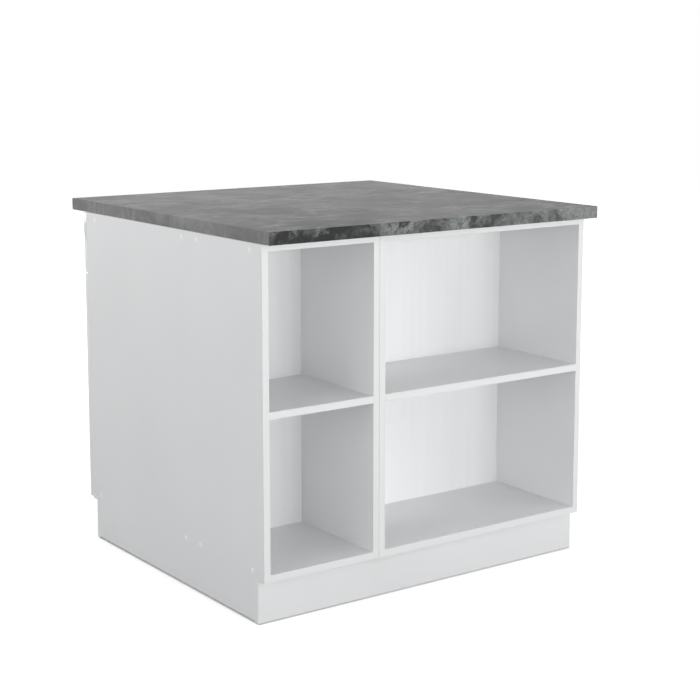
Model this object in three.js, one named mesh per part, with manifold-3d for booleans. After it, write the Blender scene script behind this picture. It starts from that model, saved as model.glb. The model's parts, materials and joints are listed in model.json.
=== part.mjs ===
// Kitchen island unit: open shelves on one long side, and on the other a wide cupboard with a drawer
// over two doors beside a narrow cupboard with one tall door, all under one worktop.
//
// Units are millimetres and Z is up. Inside the island group, X runs from the left side panel's outer
// face to the right one's, Y from the shelf side's front edges to the cupboard side, and Z from the
// floor. The group is then moved so that the worktop's middle stands over the origin, on the floor.

import * as THREE from 'three';
import { mergeVertices } from 'three/addons/utils/BufferGeometryUtils.js';
import Module from 'manifold-3d';

const wasm = await Module();
wasm.setup();

// ---------------------------------------------------------------- driving dimensions

const BOARD = 16; // melamine-faced board, used for every panel and front
const BODY = { width: 900, depth: 793, height: 816 };
const WORKTOP = { width: 914, depth: 900, thickness: 28, overShelves: 30 };
const WIDE = 600; // the wide cupboard, and the wide bay of open shelves
const NARROW = 300; // the narrow cupboard, and the narrow bay of open shelves
const SHELF_BAY_DEPTH = 281; // from the shelf side's front edges to the back boards
const BACK_BOARD = 3;
const PLINTH = { height: 97, fromShelfEdge: 24, fromCupboardEdge: 18 };
const INNER_SHELF_SETBACK = 20;
const TOP_RAIL = 100;

const FRONT_GAP = 3; // between the carcass and the back of a door or drawer front
const FRONT_REVEAL = 1.5; // from a cupboard's outer plane to the edge of its front
const FRONT_BOTTOM = 100;
const FRONT_TOP = 813;
const LOWER_DOOR_TOP = 664;
const DRAWER_FRONT_BOTTOM = 667;

const HANDLE = { length: 224, spacing: 192, bar: 6, post: 4.5, reach: 29, fromTop: 60 };

// Concealed cup hinge. Depths are counted outwards from the carcass front, widths from the cupboard's
// outer plane, and heights from the hinge's own middle.
const HINGE = {
  pinFromPlane: 9,
  pinOut: 12.5,
  pinRadius: 1.1,
  pinHalf: 8.8,
  eyeRadius: 2.3,
  eyeBore: 1.35,
  armThickness: 2,
  armHalfWidth: 4.5,
  armFromPlane: 22,
  cupFromPlane: 22.5,
  boreRadius: 17.5,
  boreDepth: 13,
  cupRadius: 17.2,
  cupDepth: 12.8,
  cupWall: 0.6,
  rimPastBore: 1.1,
  flange: 1.25,
  fromDoorEnd: 90,
};

// The flange's ears: half an ear's width, how far they lie past the cup's middle towards the door's
// free edge, and their reach up and down.
const EARS = { half: 6, offset: 6, reach: 24 };

// The arm's channel over its plate. Depths are counted inwards from the carcass front here.
const CHANNEL = {
  height: 14,
  from: 19,
  ridge: 22,
  bend: 23,
  to: 25,
  tip: 10,
  shoulder: 14,
  slope: 56,
  end: 60,
};

// The mounting plate on the cupboard's side: a pad under the channel, and a wing for its screws.
const PLATE = { padFront: 16, padEnd: 60, padHalf: 9, wingFront: 32, wingEnd: 42, wingHalf: 20 };

// Roller runner. Widths are counted from the cupboard's side into the cupboard, heights from the
// underside of the profile that is screwed to that side.
const RUNNER = {
  length: 450,
  steel: 1.5,
  gap: 13,
  bottom: 688.5,
  fromFront: 2,
  trackWidth: 11,
  lip: 4,
  innerHeight: 22,
  drawerClearance: 0.5,
  flangeFrom: 2.5,
  footWidth: 12,
};

// The rollers' widths count from the cupboard's side too, as do those of the rivets and their heads.
const ROLLER = {
  radius: 9,
  width: 6.5,
  bore: 2.4,
  hubWall: 1.8,
  rimWall: 2,
  dish: 1,
  ease: 0.8,
  slack: 0.25,
  fromEnd: 12,
  onCupboard: 2.1,
  onDrawer: 2.7,
};
const RIVET = { radius: 2.2, headRadius: 3.5, cupboardHead: [8.8, 9.8], drawerHead: [1.8, 2.5] };

const DRAWER = { side: 12, height: 90, grooveUp: 8, grooveDeep: 6, base: 3 };

const ROUND = 40; // facets on a cup or a bore
const SMALL_ROUND = 20; // facets on rollers, handles, pins and rivets
const CUT_PAST = 1; // how far a cutting tool starts outside the face it cuts

// ---------------------------------------------------------------- derived positions

const RIGHT = BODY.width;
const CARCASS_FRONT = BODY.depth; // the cupboard side's front edges
const BACK_OF_FRONTS = CARCASS_FRONT + FRONT_GAP;
const FACE_OF_FRONTS = BACK_OF_FRONTS + BOARD;
const CUPBOARD_BACK = SHELF_BAY_DEPTH + BACK_BOARD;
const BOTTOM_TOP = PLINTH.height + BOARD; // upper face of the bottom panels
const TOP_UNDERSIDE = BODY.height - BOARD;
const MID_SHELF = (BOTTOM_TOP + TOP_UNDERSIDE - BOARD) / 2; // underside of a shelf at mid height

const DRAWER_BOTTOM = RUNNER.bottom + 2 * RUNNER.steel + RUNNER.drawerClearance;
const ROLLER_AXIS = RUNNER.bottom + RUNNER.steel + ROLLER.slack + ROLLER.radius;
const DRAWER_FLANGE = ROLLER_AXIS + ROLLER.radius + ROLLER.slack;

// ---------------------------------------------------------------- finishes

const finish = (color, roughness, metalness = 0) =>
  new THREE.MeshStandardMaterial({ color, roughness, metalness });

const MELAMINE = finish(0xe8e8e6, 0.5);
const GLOSS_FRONT = finish(0xf3f3f1, 0.08);
const SLATE_LAMINATE = finish(0x8b8d8c, 0.5);
const BACK_PANEL = finish(0xececea, 0.55);
const SATIN_STEEL = finish(0xb8babc, 0.3, 1);
const NICKEL = finish(0xc3c5c7, 0.22, 1);
const COATED_STEEL = finish(0xe4e4e0, 0.35);
const NYLON = finish(0xf0f0ec, 0.4);

// ---------------------------------------------------------------- geometry helpers

const island = new THREE.Group();
island.position.set(-WORKTOP.width / 2, WORKTOP.overShelves - WORKTOP.depth / 2, 0);

function addMesh(name, geometry, material, position = [0, 0, 0]) {
  const mesh = new THREE.Mesh(geometry, material);
  mesh.name = name;
  mesh.position.set(...position);
  island.add(mesh);
  return mesh;
}

// A box between two corners, as geometry in island coordinates.
function boxBetween(low, high) {
  const size = high.map((value, axis) => value - low[axis]);
  const middle = high.map((value, axis) => (value + low[axis]) / 2);
  return new THREE.BoxGeometry(...size).translate(...middle);
}

// A plain board between two corners, as a mesh placed at its middle.
function addBoard(name, low, high, material = MELAMINE) {
  const size = high.map((value, axis) => value - low[axis]);
  const middle = high.map((value, axis) => (value + low[axis]) / 2);
  return addMesh(name, new THREE.BoxGeometry(...size), material, middle);
}

function outline(points) {
  return new THREE.Shape(points.map(([a, b]) => new THREE.Vector2(a, b)));
}

// An outline drawn in Y and Z, carried along X from a start.
function extrudeX(shape, start, length) {
  const geometry = new THREE.ExtrudeGeometry(shape, { depth: length, bevelEnabled: false });
  const turn = new THREE.Matrix4().makeBasis(
    new THREE.Vector3(0, 1, 0),
    new THREE.Vector3(0, 0, 1),
    new THREE.Vector3(1, 0, 0),
  );
  return geometry.applyMatrix4(turn).translate(start, 0, 0);
}

// An outline drawn in X and Z, carried along Y from a start.
function extrudeY(shape, start, length) {
  const geometry = new THREE.ExtrudeGeometry(shape, { depth: length, bevelEnabled: false });
  const turn = new THREE.Matrix4().makeBasis(
    new THREE.Vector3(1, 0, 0),
    new THREE.Vector3(0, 0, 1),
    new THREE.Vector3(0, -1, 0),
  );
  return geometry.applyMatrix4(turn).translate(0, start + length, 0);
}

// An outline drawn in X and Y, carried along Z, centred on a height.
function extrudeZ(shape, middle, height, curveSegments = 8) {
  const settings = { depth: height, bevelEnabled: false, curveSegments };
  return new THREE.ExtrudeGeometry(shape, settings).translate(0, 0, middle - height / 2);
}

// A cylinder along one axis between two ends.
function rod(axis, radius, from, to, across, facets = SMALL_ROUND) {
  const geometry = new THREE.CylinderGeometry(radius, radius, to - from, facets);
  const middle = (from + to) / 2;
  if (axis === 'x') return geometry.rotateZ(-Math.PI / 2).translate(middle, across[0], across[1]);
  if (axis === 'y') return geometry.translate(across[0], middle, across[1]);
  return geometry.rotateX(Math.PI / 2).translate(across[0], across[1], middle);
}

function solidOf(geometry) {
  const bare = geometry.clone();
  bare.deleteAttribute('normal');
  bare.deleteAttribute('uv');
  const merged = mergeVertices(bare, 1e-4);
  return new wasm.Manifold(new wasm.Mesh({
    numProp: 3,
    vertProperties: Float32Array.from(merged.attributes.position.array),
    triVerts: Uint32Array.from(merged.index.array),
  }));
}

function geometryOf(solid) {
  const { vertProperties, triVerts } = solid.getMesh();
  const geometry = new THREE.BufferGeometry();
  geometry.setAttribute('position', new THREE.BufferAttribute(vertProperties, 3));
  geometry.setIndex(new THREE.BufferAttribute(triVerts, 1));
  geometry.computeVertexNormals();
  return geometry;
}

// Joins the first list of geometries and cuts the second list out of the result.
function shaped(added, removed = []) {
  let solid = solidOf(added[0]);
  for (const geometry of added.slice(1)) solid = solid.add(solidOf(geometry));
  for (const geometry of removed) solid = solid.subtract(solidOf(geometry));
  return geometryOf(solid);
}

// ---------------------------------------------------------------- carcass

// A side panel stands on the floor and is notched at both bottom corners for the plinths.
function addSidePanel(name, start) {
  const shelfNotch = PLINTH.fromShelfEdge + BOARD;
  const cupboardNotch = BODY.depth - PLINTH.fromCupboardEdge - BOARD;
  const shape = outline([
    [shelfNotch, 0],
    [cupboardNotch, 0],
    [cupboardNotch, PLINTH.height],
    [BODY.depth, PLINTH.height],
    [BODY.depth, BODY.height],
    [0, BODY.height],
    [0, PLINTH.height],
    [shelfNotch, PLINTH.height],
  ]);
  addMesh(name, extrudeX(shape, start, BOARD), MELAMINE);
}

function addPlinths() {
  const shelfFace = PLINTH.fromShelfEdge;
  const cupboardFace = BODY.depth - PLINTH.fromCupboardEdge;
  addBoard('plinth_shelf_side', [0, shelfFace, 0], [RIGHT, shelfFace + BOARD, PLINTH.height]);
  addBoard(
    'plinth_cupboard_side',
    [0, cupboardFace - BOARD, 0],
    [RIGHT, cupboardFace, PLINTH.height],
  );
}

// One bay of open shelves: top, shelf at mid height and bottom, between two uprights.
function addShelfBay(name, left, right) {
  const levels = { top: TOP_UNDERSIDE, shelf: MID_SHELF, bottom: PLINTH.height };
  for (const [part, under] of Object.entries(levels)) {
    addBoard(`${name}_bay_${part}`, [left, 0, under], [right, SHELF_BAY_DEPTH, under + BOARD]);
  }
}

// One cupboard: bottom, front and rear top rails and a loose shelf, between two uprights.
function addCupboard(name, left, right, shelfUnder) {
  const front = CARCASS_FRONT;
  const shelfFront = front - INNER_SHELF_SETBACK;
  const railLow = TOP_UNDERSIDE;
  const railHigh = BODY.height;
  addBoard(`${name}_cupboard_bottom`, [left, CUPBOARD_BACK, PLINTH.height], [right, front, BOTTOM_TOP]);
  addBoard(`${name}_cupboard_front_rail`, [left, front - TOP_RAIL, railLow], [right, front, railHigh]);
  addBoard(
    `${name}_cupboard_rear_rail`,
    [left, CUPBOARD_BACK, railLow],
    [right, CUPBOARD_BACK + TOP_RAIL, railHigh],
  );
  addBoard(
    `${name}_cupboard_shelf`,
    [left, CUPBOARD_BACK, shelfUnder],
    [right, shelfFront, shelfUnder + BOARD],
  );
}

// An upright between two bays or two cupboards. It stands on the plinth's level, not on the floor.
function addDivider(name, left, from, to) {
  addBoard(name, [left, from, PLINTH.height], [left + BOARD, to, BODY.height]);
}

function addCarcass() {
  addSidePanel('side_panel_left', 0);
  addSidePanel('side_panel_right', RIGHT - BOARD);
  addPlinths();

  // The bays' uprights stand back to back, and so do the cupboards'.
  addDivider('narrow_bay_divider', NARROW - BOARD, 0, SHELF_BAY_DEPTH);
  addDivider('wide_bay_divider', NARROW, 0, SHELF_BAY_DEPTH);
  addDivider('wide_cupboard_divider', WIDE - BOARD, CUPBOARD_BACK, CARCASS_FRONT);
  addDivider('narrow_cupboard_divider', WIDE, CUPBOARD_BACK, CARCASS_FRONT);

  addShelfBay('narrow', BOARD, NARROW - BOARD);
  addShelfBay('wide', NARROW + BOARD, RIGHT - BOARD);

  // Thin back boards meet behind the cupboards' uprights and close the bays too.
  const backLow = PLINTH.height;
  addBoard('wide_back_board', [BOARD, SHELF_BAY_DEPTH, backLow],
    [WIDE, CUPBOARD_BACK, BODY.height], BACK_PANEL);
  addBoard('narrow_back_board', [WIDE, SHELF_BAY_DEPTH, backLow],
    [RIGHT - BOARD, CUPBOARD_BACK, BODY.height], BACK_PANEL);

  // The wide cupboard's shelf halves the space behind its doors, to a whole millimetre.
  const wideShelf = Math.floor((BOTTOM_TOP + LOWER_DOOR_TOP - BOARD) / 2);
  addCupboard('wide', BOARD, WIDE - BOARD, wideShelf);
  addCupboard('narrow', WIDE + BOARD, RIGHT - BOARD, MID_SHELF);
}

function addWorktop() {
  const front = -WORKTOP.overShelves;
  addBoard(
    'worktop',
    [0, front, BODY.height],
    [WORKTOP.width, front + WORKTOP.depth, BODY.height + WORKTOP.thickness],
    SLATE_LAMINATE,
  );
}

// ---------------------------------------------------------------- handles

// A round bar on two posts, in front of a door or drawer.
function addHandle(name, middle, height) {
  const axis = FACE_OF_FRONTS + HANDLE.reach;
  const half = HANDLE.length / 2;
  const bar = rod('x', HANDLE.bar, middle - half, middle + half, [axis, height]);
  const posts = [-1, 1].map((end) => {
    const at = middle + (end * HANDLE.spacing) / 2;
    return rod('y', HANDLE.post, FACE_OF_FRONTS, axis, [at, height]);
  });
  addMesh(name, shaped([bar, ...posts]), SATIN_STEEL);
}

// ---------------------------------------------------------------- doors and their hinges

// The arm and its mounting plate, on the cupboard's side. Its tongue runs inside the cup from the pin
// and turns into the cupboard clear of the circle that the door's edge sweeps round the pin.
function addHingeArm(name, plane, side, height) {
  const across = (width) => plane + side * width;
  const out = (depth) => CARCASS_FRONT + depth;
  const half = HINGE.armThickness / 2;
  const pin = [across(HINGE.pinFromPlane), out(HINGE.pinOut)];
  const inner = across(HINGE.armFromPlane);
  const outer = across(HINGE.armFromPlane + HINGE.armThickness);
  const tongueIn = out(HINGE.pinOut - half);
  const tongueOut = out(HINGE.pinOut + half);
  const armEnd = out(-CHANNEL.slope);

  const tongue = new THREE.Shape();
  tongue.moveTo(pin[0], tongueIn);
  tongue.lineTo(inner, tongueIn);
  tongue.lineTo(inner, armEnd);
  tongue.lineTo(outer, armEnd);
  tongue.lineTo(outer, tongueIn);
  tongue.absarc(
    inner,
    tongueIn,
    HINGE.armThickness,
    side > 0 ? 0 : Math.PI,
    Math.PI / 2,
    side < 0,
  );
  tongue.lineTo(pin[0], tongueOut);

  // The channel over the plate is wider than the tongue and has sloping ends.
  const channel = outline([
    [across(CHANNEL.from), out(-CHANNEL.shoulder)],
    [across(CHANNEL.ridge), out(-CHANNEL.tip)],
    [across(CHANNEL.to), out(-CHANNEL.shoulder)],
    [across(CHANNEL.to), out(-CHANNEL.slope)],
    [across(CHANNEL.bend), out(-CHANNEL.end)],
    [across(CHANNEL.from), out(-CHANNEL.end)],
  ]);

  // The plate lies between the cupboard's side and the channel, and its wing is rounded at both ends.
  const { padFront, padEnd, padHalf, wingFront, wingEnd, wingHalf } = PLATE;
  const low = Math.min(across(BOARD), across(CHANNEL.from));
  const high = Math.max(across(BOARD), across(CHANNEL.from));
  const pad = boxBetween([low, out(-padEnd), height - padHalf], [high, out(-padFront), height + padHalf]);
  const wing = boxBetween(
    [low, out(-wingEnd), height - wingHalf],
    [high, out(-wingFront), height + wingHalf],
  );
  const wingMiddle = out(-(wingFront + wingEnd) / 2);
  const wingRadius = (wingEnd - wingFront) / 2;
  const wingEnds = [-wingHalf, wingHalf].map(
    (up) => rod('x', wingRadius, low, high, [wingMiddle, height + up]),
  );

  const width = 2 * HINGE.armHalfWidth;
  const eye = rod('z', HINGE.eyeRadius, height - width / 2, height + width / 2, pin);
  const bore = rod('z', HINGE.eyeBore, height - width, height + width, pin);
  const added = [
    extrudeZ(tongue, height, width),
    eye,
    extrudeZ(channel, height, CHANNEL.height),
    pad,
    wing,
    ...wingEnds,
  ];
  addMesh(name, shaped(added, [bore]), NICKEL);
}

// The cup in the door's back, with its flange on the surface and the pin across it.
function addHingeCup(name, plane, side, height) {
  const middle = plane + side * HINGE.cupFromPlane;
  const back = BACK_OF_FRONTS;
  const centre = [middle, height];
  const cup = rod('y', HINGE.cupRadius, back - HINGE.flange, back + HINGE.cupDepth, centre, ROUND);
  const rimRadius = HINGE.boreRadius + HINGE.rimPastBore;
  const rim = rod('y', rimRadius, back - HINGE.flange, back, centre, ROUND);

  const earMiddle = middle + side * EARS.offset;
  const earTop = height + EARS.reach;
  const earFoot = height - EARS.reach;
  const ears = new THREE.Shape();
  ears.moveTo(earMiddle + EARS.half, earFoot);
  ears.lineTo(earMiddle + EARS.half, earTop);
  ears.absarc(earMiddle, earTop, EARS.half, 0, Math.PI, false);
  ears.lineTo(earMiddle - EARS.half, earFoot);
  ears.absarc(earMiddle, earFoot, EARS.half, Math.PI, 2 * Math.PI, false);
  const flange = extrudeY(ears, back - HINGE.flange, HINGE.flange);

  const wall = HINGE.cupWall;
  const hollow = rod(
    'y',
    HINGE.cupRadius - wall,
    back - 2 * HINGE.flange,
    back + HINGE.cupDepth - wall,
    centre,
    ROUND,
  );
  const pinAt = [plane + side * HINGE.pinFromPlane, CARCASS_FRONT + HINGE.pinOut];
  const pin = rod('z', HINGE.pinRadius, height - HINGE.pinHalf, height + HINGE.pinHalf, pinAt);
  const shell = shaped([cup, rim, flange], [hollow]);
  addMesh(name, shaped([shell, pin]), NICKEL);
}

// A door hung at a cupboard's outer plane. side is +1 when the door runs from that plane towards +X.
function addDoor(name, plane, side, top) {
  const near = plane + side * FRONT_REVEAL;
  const far = plane + side * (NARROW - FRONT_REVEAL);
  const low = [Math.min(near, far), BACK_OF_FRONTS, FRONT_BOTTOM];
  const high = [Math.max(near, far), FACE_OF_FRONTS, top];
  const hinges = { lower: FRONT_BOTTOM + HINGE.fromDoorEnd, upper: top - HINGE.fromDoorEnd };

  const cupMiddle = plane + side * HINGE.cupFromPlane;
  const bores = Object.values(hinges).map((height) => rod(
    'y',
    HINGE.boreRadius,
    BACK_OF_FRONTS - CUT_PAST,
    BACK_OF_FRONTS + HINGE.boreDepth,
    [cupMiddle, height],
    ROUND,
  ));
  addMesh(name, shaped([boxBetween(low, high)], bores), GLOSS_FRONT);
  addHandle(`${name}_handle`, (near + far) / 2, top - HANDLE.fromTop);

  for (const [level, height] of Object.entries(hinges)) {
    addHingeArm(`${name}_${level}_hinge_arm`, plane, side, height);
    addHingeCup(`${name}_${level}_hinge_cup`, plane, side, height);
  }
}

// ---------------------------------------------------------------- drawer and its runners

// The profile on the cupboard's side: a track with a raised lip, and a rail over it that stops the
// drawer tipping. Its roller turns on a rivet at the front end.
function addCupboardRunner(name, wall, side) {
  const { steel, bottom, trackWidth, lip, innerHeight, length } = RUNNER;
  const across = (width) => wall + side * width;
  const up = (height) => bottom + height;
  const section = outline([
    [across(0), up(0)],
    [across(trackWidth), up(0)],
    [across(trackWidth), up(lip)],
    [across(trackWidth - steel), up(lip)],
    [across(trackWidth - steel), up(steel)],
    [across(steel), up(steel)],
    [across(steel), up(innerHeight)],
    [across(trackWidth), up(innerHeight)],
    [across(trackWidth), up(innerHeight + steel)],
    [across(0), up(innerHeight + steel)],
  ]);
  const front = CARCASS_FRONT - RUNNER.fromFront;
  const profile = extrudeY(section, front - length, length);
  const axis = [front - ROLLER.fromEnd, ROLLER_AXIS];
  const [headFrom, headTo] = RIVET.cupboardHead;
  const rivet = rodAcross(wall, side, RIVET.radius, steel / 2, (headFrom + headTo) / 2, axis);
  const head = rodAcross(wall, side, RIVET.headRadius, headFrom, headTo, axis);
  addMesh(name, shaped([profile, rivet, head]), COATED_STEEL);
  addRoller(name.replace('_profile', '_roller'), wall, side, ROLLER.onCupboard, axis);
}

// The profile under the drawer's side: a foot under the board, a web against it and a flange that
// rides on the fixed roller. Its own roller turns on a rivet at the rear end, inside the track.
function addDrawerRunner(name, wall, side) {
  const { steel, gap, footWidth, length } = RUNNER;
  const across = (width) => wall + side * width;
  const flangeTop = DRAWER_FLANGE + steel;
  const section = outline([
    [across(gap - steel), DRAWER_BOTTOM - steel],
    [across(gap + footWidth), DRAWER_BOTTOM - steel],
    [across(gap + footWidth), DRAWER_BOTTOM],
    [across(gap), DRAWER_BOTTOM],
    [across(gap), flangeTop],
    [across(RUNNER.flangeFrom), flangeTop],
    [across(RUNNER.flangeFrom), DRAWER_FLANGE],
    [across(gap - steel), DRAWER_FLANGE],
  ]);
  const rear = BACK_OF_FRONTS - length;
  const profile = extrudeY(section, rear, length);
  const axis = [rear + ROLLER.fromEnd, ROLLER_AXIS];
  const [headFrom, headTo] = RIVET.drawerHead;
  const rivet = rodAcross(wall, side, RIVET.radius, (headFrom + headTo) / 2, gap - steel / 2, axis);
  const head = rodAcross(wall, side, RIVET.headRadius, headFrom, headTo, axis);
  addMesh(name, shaped([profile, rivet, head]), COATED_STEEL);
  addRoller(name.replace('_profile', '_roller'), wall, side, ROLLER.onDrawer, axis);
}

// A rod along X between two distances from a cupboard's side.
function rodAcross(wall, side, radius, from, to, axis) {
  const ends = [wall + side * from, wall + side * to].sort((a, b) => a - b);
  return rod('x', radius, ends[0], ends[1], axis);
}

// A nylon roller with eased edges and a bore, turned about its own axis and laid along X.
function addRoller(name, wall, side, from, axis) {
  const { radius, bore, dish, ease } = ROLLER;
  const half = ROLLER.width / 2;
  const hub = bore + ROLLER.hubWall;
  const rim = radius - ROLLER.rimWall;
  const profile = [
    [bore, -half],
    [hub, -half],
    [hub, -half + dish],
    [rim, -half + dish],
    [rim, -half],
    [radius - ease, -half],
    [radius, -half + ease],
    [radius, half - ease],
    [radius - ease, half],
    [rim, half],
    [rim, half - dish],
    [hub, half - dish],
    [hub, half],
    [bore, half],
    [bore, -half],
  ].map(([out, along]) => new THREE.Vector2(out, along));
  const geometry = new THREE.LatheGeometry(profile, SMALL_ROUND);
  const mesh = addMesh(name, geometry, NYLON, [wall + side * (from + half), axis[0], axis[1]]);
  mesh.rotation.z = Math.PI / 2;
}

// A drawer side has a groove along its inner face for the base.
function addDrawerSide(name, wall, side) {
  const across = (width) => wall + side * width;
  const { side: thickness, height, grooveUp, grooveDeep, base } = DRAWER;
  const outside = RUNNER.gap;
  const inside = outside + thickness;
  const groove = inside - grooveDeep;
  const section = outline([
    [across(outside), DRAWER_BOTTOM],
    [across(inside), DRAWER_BOTTOM],
    [across(inside), DRAWER_BOTTOM + grooveUp],
    [across(groove), DRAWER_BOTTOM + grooveUp],
    [across(groove), DRAWER_BOTTOM + grooveUp + base],
    [across(inside), DRAWER_BOTTOM + grooveUp + base],
    [across(inside), DRAWER_BOTTOM + height],
    [across(outside), DRAWER_BOTTOM + height],
  ]);
  addMesh(name, extrudeY(section, BACK_OF_FRONTS - RUNNER.length, RUNNER.length), MELAMINE);
}

function addDrawer() {
  const walls = { left: [BOARD, 1], right: [WIDE - BOARD, -1] };
  for (const [end, [wall, side]] of Object.entries(walls)) {
    addCupboardRunner(`cupboard_runner_${end}_profile`, wall, side);
    addDrawerRunner(`drawer_runner_${end}_profile`, wall, side);
    addDrawerSide(`drawer_side_${end}`, wall, side);
  }

  const rear = BACK_OF_FRONTS - RUNNER.length;
  const outside = BOARD + RUNNER.gap;
  const inside = outside + DRAWER.side;
  const groove = inside - DRAWER.grooveDeep;
  const baseLow = DRAWER_BOTTOM + DRAWER.grooveUp;
  const baseHigh = baseLow + DRAWER.base;
  addBoard('drawer_base', [groove, rear, baseLow], [WIDE - groove, BACK_OF_FRONTS, baseHigh],
    BACK_PANEL);
  addBoard('drawer_back', [inside, rear, baseHigh],
    [WIDE - inside, rear + DRAWER.side, DRAWER_BOTTOM + DRAWER.height]);
  addBoard('drawer_front', [FRONT_REVEAL, BACK_OF_FRONTS, DRAWER_FRONT_BOTTOM],
    [WIDE - FRONT_REVEAL, FACE_OF_FRONTS, FRONT_TOP], GLOSS_FRONT);
  addHandle('drawer_handle', WIDE / 2, (DRAWER_FRONT_BOTTOM + FRONT_TOP) / 2);
}

// ---------------------------------------------------------------- the island

addCarcass();
addWorktop();
addDoor('wide_door_outer', 0, 1, LOWER_DOOR_TOP);
addDoor('wide_door_middle', WIDE, -1, LOWER_DOOR_TOP);
addDoor('narrow_door', RIGHT, -1, FRONT_TOP);
addDrawer();

export default island;
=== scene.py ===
import json
import math

import bpy
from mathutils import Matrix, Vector

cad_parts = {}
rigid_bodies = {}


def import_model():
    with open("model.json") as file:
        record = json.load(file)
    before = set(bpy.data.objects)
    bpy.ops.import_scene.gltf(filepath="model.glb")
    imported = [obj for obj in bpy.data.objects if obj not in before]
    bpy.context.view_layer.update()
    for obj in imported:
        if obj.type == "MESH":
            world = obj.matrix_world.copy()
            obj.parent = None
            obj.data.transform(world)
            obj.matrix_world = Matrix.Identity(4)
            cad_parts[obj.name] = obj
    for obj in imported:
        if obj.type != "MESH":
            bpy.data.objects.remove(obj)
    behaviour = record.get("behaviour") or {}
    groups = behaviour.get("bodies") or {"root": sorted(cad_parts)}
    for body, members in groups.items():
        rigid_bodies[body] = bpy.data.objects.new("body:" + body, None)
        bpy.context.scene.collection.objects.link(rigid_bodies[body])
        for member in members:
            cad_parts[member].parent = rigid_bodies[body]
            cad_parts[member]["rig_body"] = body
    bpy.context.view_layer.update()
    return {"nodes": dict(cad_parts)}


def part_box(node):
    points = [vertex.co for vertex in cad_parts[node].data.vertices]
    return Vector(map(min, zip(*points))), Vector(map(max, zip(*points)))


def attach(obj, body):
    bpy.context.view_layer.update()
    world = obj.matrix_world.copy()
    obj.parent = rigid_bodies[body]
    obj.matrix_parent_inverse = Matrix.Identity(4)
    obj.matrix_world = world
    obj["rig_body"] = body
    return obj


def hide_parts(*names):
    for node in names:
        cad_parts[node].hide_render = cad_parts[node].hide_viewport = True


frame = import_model()
bpy.ops.object.select_all(action="DESELECT")
print("frame loaded:", len(frame["nodes"]), "nodes")


# small tools

quarterTurn = math.radians(90)
squarely = 0.9  # a face looks along an axis when at least this share of its normal does


def linear(hexColour):
    # sRGB hex to the linear values that shaders take
    channels = [int(hexColour[i:i + 2], 16) / 255 for i in (1, 3, 5)]
    return [c / 12.92 if c <= 0.04045 else ((c + 0.055) / 1.055) ** 2.4 for c in channels] + [1.0]


def addNode(tree, kind, settings=None, sockets=None):
    # settings are the node's own options. sockets, by name or number, take values or other nodes' outputs
    node = tree.nodes.new(kind)
    for name, value in (settings or {}).items():
        setattr(node, name, value)
    for name, value in (sockets or {}).items():
        if isinstance(value, bpy.types.NodeSocket):
            tree.links.new(value, node.inputs[name])
        else:
            node.inputs[name].default_value = value
    return node


def newMaterial(name):
    material = bpy.data.materials.new(name)
    material.use_nodes = True
    tree = material.node_tree
    tree.nodes.clear()
    shader = addNode(tree, "ShaderNodeBsdfPrincipled")
    addNode(tree, "ShaderNodeOutputMaterial", {}, {"Surface": shader.outputs["BSDF"]})
    place = addNode(tree, "ShaderNodeTexCoord").outputs["Object"]
    return material, tree, shader, place


def blendColours(ramp, stops):
    # stops are pairs of place and hex colour, lowest first
    elements = ramp.color_ramp.elements
    while len(elements) < len(stops):
        elements.new(0.5)
    for element, (spot, colour) in zip(elements, stops):
        element.position = spot
        element.color = linear(colour)


def coverSurface(tree, shader, tint, sheen=None, relief=None):
    # each holds a pattern and what it drives: tint the colour, by stops, sheen the roughness, by its
    # range, and relief the bump, by its strength and height in metres
    pattern, stops = tint
    ramp = addNode(tree, "ShaderNodeValToRGB", {}, {"Fac": pattern.outputs[0]})
    blendColours(ramp, stops)
    tree.links.new(ramp.outputs["Color"], shader.inputs["Base Color"])
    if sheen:
        pattern, low, high = sheen
        spread = addNode(tree, "ShaderNodeMapRange", {}, {
            "Value": pattern.outputs[0], "To Min": low, "To Max": high})
        tree.links.new(spread.outputs["Result"], shader.inputs["Roughness"])
    if relief:
        pattern, strength, height = relief
        bump = addNode(tree, "ShaderNodeBump", {}, {
            "Height": pattern.outputs[0], "Strength": strength, "Distance": height})
        tree.links.new(bump.outputs["Normal"], shader.inputs["Normal"])


def selectOnly(*pieces):
    if bpy.context.object and bpy.context.object.mode != "OBJECT":
        bpy.ops.object.mode_set(mode="OBJECT")
    bpy.ops.object.select_all(action="DESELECT")
    for piece in pieces:
        piece.select_set(True)
    bpy.context.view_layer.objects.active = pieces[0]


def pickFaces(piece, test):
    # picks faces by the way they look, then opens edit mode on them
    selectOnly(piece)
    bpy.context.tool_settings.mesh_select_mode = (False, False, True)
    for part in (piece.data.vertices, piece.data.edges):
        for item in part:
            item.select = False
    for face in piece.data.polygons:
        face.select = test(face.normal)
    bpy.ops.object.mode_set(mode="EDIT")


def applyModifier(piece, kind, **settings):
    selectOnly(piece)
    modifier = piece.modifiers.new(kind.lower(), kind)
    for name, value in settings.items():
        setattr(modifier, name, value)
    bpy.ops.object.modifier_apply(modifier=modifier.name)


def softenEdges(piece, width, segments=2, angle=35):
    # rounds every sharp edge by its real small radius
    applyModifier(piece, "BEVEL", width=width, segments=segments, limit_method="ANGLE",
                  angle_limit=math.radians(angle), use_clamp_overlap=True)


def smoothRounds(piece, angle=40):
    # smooth shading round the curves, with the flats kept flat by their larger area
    selectOnly(piece)
    bpy.ops.object.shade_smooth_by_angle(angle=math.radians(angle))
    applyModifier(piece, "WEIGHTED_NORMAL", mode="FACE_AREA", weight=100, keep_sharp=True)


def bodyOf(node):
    # the body that a CAD node rides on
    return frame["nodes"][node]["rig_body"]


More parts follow.
